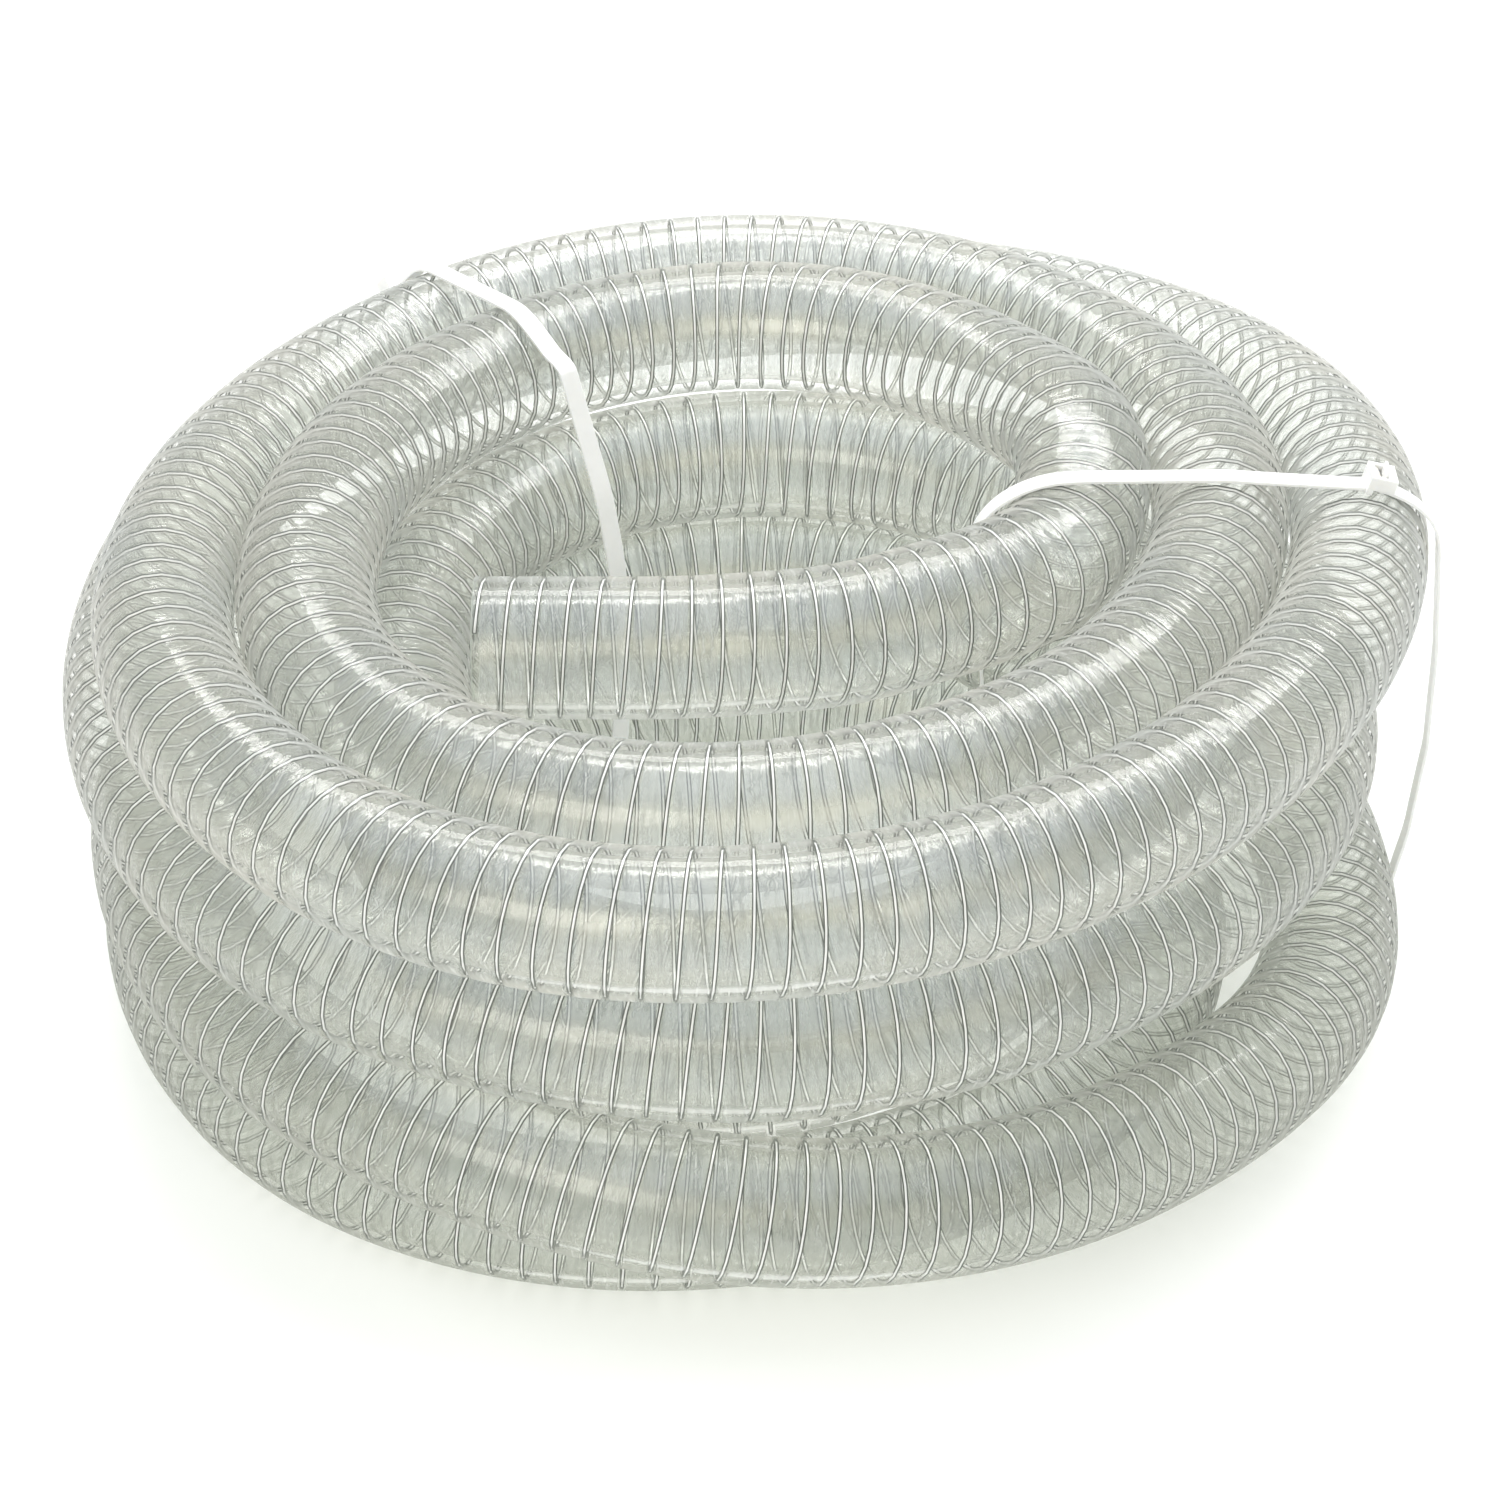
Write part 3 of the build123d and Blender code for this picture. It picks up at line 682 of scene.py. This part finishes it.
def make_steel():
    """Painted highlight: a bright line down the middle of the wire from any side, and painted
    shade on its dark flanks.
    """
    g = new_shader("spring_steel_wire")
    geo = g.node("NewGeometry").outputs
    patches = g.noise(geo["Position"], scale=300.0, detail=1.0, roughness=0.6)
    wire_dir = g.node("Attribute")
    wire_dir.attribute_name = "wire_dir"
    normal_dot = g.vector("DOT_PRODUCT", geo["Normal"], geo["Incoming"], "Value")
    along_dot = g.vector("DOT_PRODUCT", wire_dir.outputs["Vector"], geo["Incoming"], "Value")
    square = g.math("SUBTRACT", 1.0, g.times(along_dot, along_dot))
    floor_value = 0.02    # keeps the division sound when looking along the wire
    middle = g.math("DIVIDE", g.times(normal_dot, normal_dot),
                    g.math("MAXIMUM", square, floor_value))
    # painted highlight down the middle of the wire, painted shade on its flanks, by view angle
    painted_highlight = g.ease(middle, start=0.74, end=0.88)
    colour = g.mix(painted_highlight, (0.105, 0.115, 0.105), (1.0, 1.0, 1.0))
    dull = g.ease(patches, start=0.60, end=0.80)
    colour = g.tone(colour, (0.35, 0.38, 0.36), dull, strength=0.20)
    steel = g.node("BsdfPrincipled", Base__Color=colour, Metallic=0.10, Roughness=0.30)
    return g.out(g.unless_shadow(steel, shadow_colour=(0.75, 0.76, 0.75)))


def make_nylon(name, dark, light):
    g = new_shader(name)
    position = g.node("NewGeometry").outputs["Position"]
    mottle = g.noise(position, scale=160.0, detail=5.0, roughness=0.6)
    fine = g.noise(position, scale=2600.0, detail=2.0)
    return g.out(g.node(
        "BsdfPrincipled", Base__Color=g.mix(mottle, dark, light),
        Roughness=g.ease(mottle, start=0.3, end=0.7, low=0.30, high=0.44),
        Normal=g.bump(fine, strength=0.25, distance=0.0002),
        Subsurface__Weight=0.35, Subsurface__Radius=(1.0, 0.95, 0.85),
        Subsurface__Scale=0.0015))


MATERIALS = {
    "pvc": make_pvc("clear_pvc_outer", OUTER),
    "bore": make_pvc("clear_pvc_bore", BORE),
    "cut": make_cut(),
    "steel": make_steel(),
    "nylon": make_nylon("natural_nylon", dark=(0.90, 0.90, 0.89), light=(0.97, 0.97, 0.96)),
    "nylon_head": make_nylon("natural_nylon_head",
                             dark=(0.88, 0.86, 0.77), light=(0.97, 0.95, 0.88)),
}

# ------------------------------------------------------------------ the hose
joints = [MOUTH_STRAIGHT + TAIL_PITCH * k for k in range(TAIL_JOINTS)]
tail_end = joints[-1] + TAIL_OVERRUN
cuts = [MOUTH_STRAIGHT / 2] + [(a + b) / 2 for a, b in zip(joints, joints[1:])] + [tail_end]


def build_mouth():
    """The free cut end rides on its own length."""
    wall = wall_piece("hose_mouth", WALL_INSET, cuts[0], TAIL_STEP, ends=(True, False))
    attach(wall, "hose_length_1")
    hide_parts("hose_wall_tail_1")
    wire = wire_piece("wire_mouth", WIRE_INSET, cuts[0], caps=(True, False))
    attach(wire, "hose_length_1")
    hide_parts("steel_helix_tail_1")


def build_bend(k):
    """One piece of wall and wire across joint k, baked in place."""
    last = k == TAIL_JOINTS - 1
    low, high = cuts[k], cuts[k + 1]
    reach = min(joints[k] - low, high - joints[k], BEND_REACH) - BEND_MARGIN
    start, end = point(joints[k] - reach), point(joints[k] + reach)
    wall = wall_piece(f"hose_bend_{k + 1}", low, high, TAIL_STEP)
    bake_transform(wall)
    wire = wire_piece(f"wire_bend_{k + 1}", low, high)
    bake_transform(wire)
    if not last:
        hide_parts(f"hose_wall_tail_{k + 2}")
        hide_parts(f"steel_helix_tail_{k + 2}")


def build_coil():
    """The coil in several lengths, so that each mesh stays light; they meet with no seam."""
    marks = np.linspace(tail_end, hose_length - WALL_INSET, COIL_PIECES + 1)
    for k in range(COIL_PIECES):
        last = k == COIL_PIECES - 1
        start, end = marks[k], marks[k + 1]
        wall = wall_piece(f"hose_coil_{k + 1}", start, end, COIL_STEP, ends=(False, last))
        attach(wall, "coil")
        wire = wire_piece(f"wire_coil_{k + 1}", start, min(end, hose_length - WIRE_INSET),
                          COIL_TURN_STEPS, caps=(False, last))
        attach(wire, "coil")
        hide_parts("hose_wall_coil", *(["hose_wall_far_end"] if last else []))
        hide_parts(f"steel_helix_coil_{k + 1}",
                    *(["steel_helix_far_end"] if last else []))


build_mouth()
for joint in range(TAIL_JOINTS):
    build_bend(joint)
build_coil()

# ------------------------------------------------------------------ cable ties
# the ties keep their CAD shape and only take a material
for tie_side in ("right", "left"):
    for part, key in (("cable_tie", "nylon"), ("tie_pawl", "nylon_head")):
        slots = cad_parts[f"{part}_{tie_side}"].data.materials
        slots.clear()
        slots.append(MATERIALS[key])


# ------------------------------------------------------------------ floor, light, camera (m)
def stage_floor(half=6):
    mesh = D.meshes.new("floor")
    corners = [(-half, -half, 0), (half, -half, 0), (half, half, 0), (-half, half, 0)]
    mesh.from_pydata(corners, [], [(0, 1, 2, 3)])
    ob = D.objects.new("floor", mesh)
    scene.collection.objects.link(ob)
    g = new_shader("pale_floor")
    clouds = g.noise(g.node("NewGeometry").outputs["Position"], scale=3.0, detail=2.0)
    colour = g.mix(clouds, (0.93, 0.935, 0.935), (0.95, 0.95, 0.945))
    mesh.materials.append(g.out(g.node("BsdfPrincipled", Base__Color=colour, Roughness=0.6)))


def aim_at(ob, target):
    ob.rotation_euler = (target - ob.location).to_track_quat("-Z", "Y").to_euler()


def area_light(name, location, size, power, color):
    light = D.lights.new(name, "AREA")
    light.shape = "RECTANGLE"
    light.size, light.size_y = size
    light.energy = power
    light.color = color
    ob = D.objects.new(name, light)
    ob.location = location
    aim_at(ob, Vector((PLAN_SHIFT[0] * MM, PLAN_SHIFT[1] * MM, 0.1)))
    scene.collection.objects.link(ob)


# sky colours on the arc from the front horizon (0) over the top (0.5) to the back horizon (1)
SKY_ENDS = ((0.50, 0.52, 0.49), (0.62, 0.64, 0.62))
SKY_STOPS = (
    (0.10, (0.62, 0.63, 0.59)), (0.19, (1.0, 0.97, 0.88)), (0.27, (0.98, 0.96, 0.90)),
    (0.36, (0.74, 0.77, 0.78)), (0.50, (0.70, 0.76, 0.82)), (0.60, (0.74, 0.80, 0.86)),
    (0.64, (1.0, 1.0, 1.0)), (0.76, (1.0, 1.0, 1.0)), (0.82, (0.66, 0.69, 0.69)),
)


def stage_world():
    world = D.worlds.new("studio")
    scene.world = world
    g = Shader(world)
    direction = g.split(g.node("TexCoord").outputs["Generated"])
    angle = g.math("ARCTAN2", direction[2], g.times(direction[1], -1.0))
    ramp = g.node("ValToRGB", g.math("DIVIDE", angle, math.pi))
    stops = ramp.color_ramp.elements
    for k, color in enumerate(SKY_ENDS):
        stops[k].position = float(k)
        stops[k].color = (*color, 1)
    for place, color in SKY_STOPS:
        stops.new(place).color = (*color, 1)
    g.out(g.node("Background", Color=ramp, Strength=1.0), "OutputWorld")


def stage_camera(elevation=math.radians(35.4), distance=1.886):
    """Camera in front (-Y) and above, aimed just left (-X) of the coil axis."""
    aim = Vector(((-3.0 + PLAN_SHIFT[0]) * MM, PLAN_SHIFT[1] * MM, (99.0 + FLOOR_GAP) * MM))
    lens = D.cameras.new("camera")
    lens.sensor_width = 36.0
    lens.lens = 100.8
    ob = D.objects.new("camera", lens)
    ob.location = aim + distance * Vector((0.0, -math.cos(elevation), math.sin(elevation)))
    aim_at(ob, aim)
    scene.collection.objects.link(ob)
    scene.camera = ob


stage_floor()
area_light("softbox_back", location=(0.25, 1.10, 1.60), size=(2.2, 0.42), power=37.0,
           color=(1.0, 0.99, 0.98))
area_light("fill_front", location=(-0.9, -1.9, 1.5), size=(1.4, 1.0), power=14.0,
           color=(1.0, 0.98, 0.94))
stage_world()
stage_camera()

scene.view_settings.view_transform = "Standard"
scene.view_settings.look = "None"
scene.cycles.max_bounces = 5
scene.cycles.diffuse_bounces = 2
scene.cycles.glossy_bounces = 3
scene.cycles.transparent_max_bounces = 48    # the rays cross many layers of wall
scene.cycles.use_denoising = True
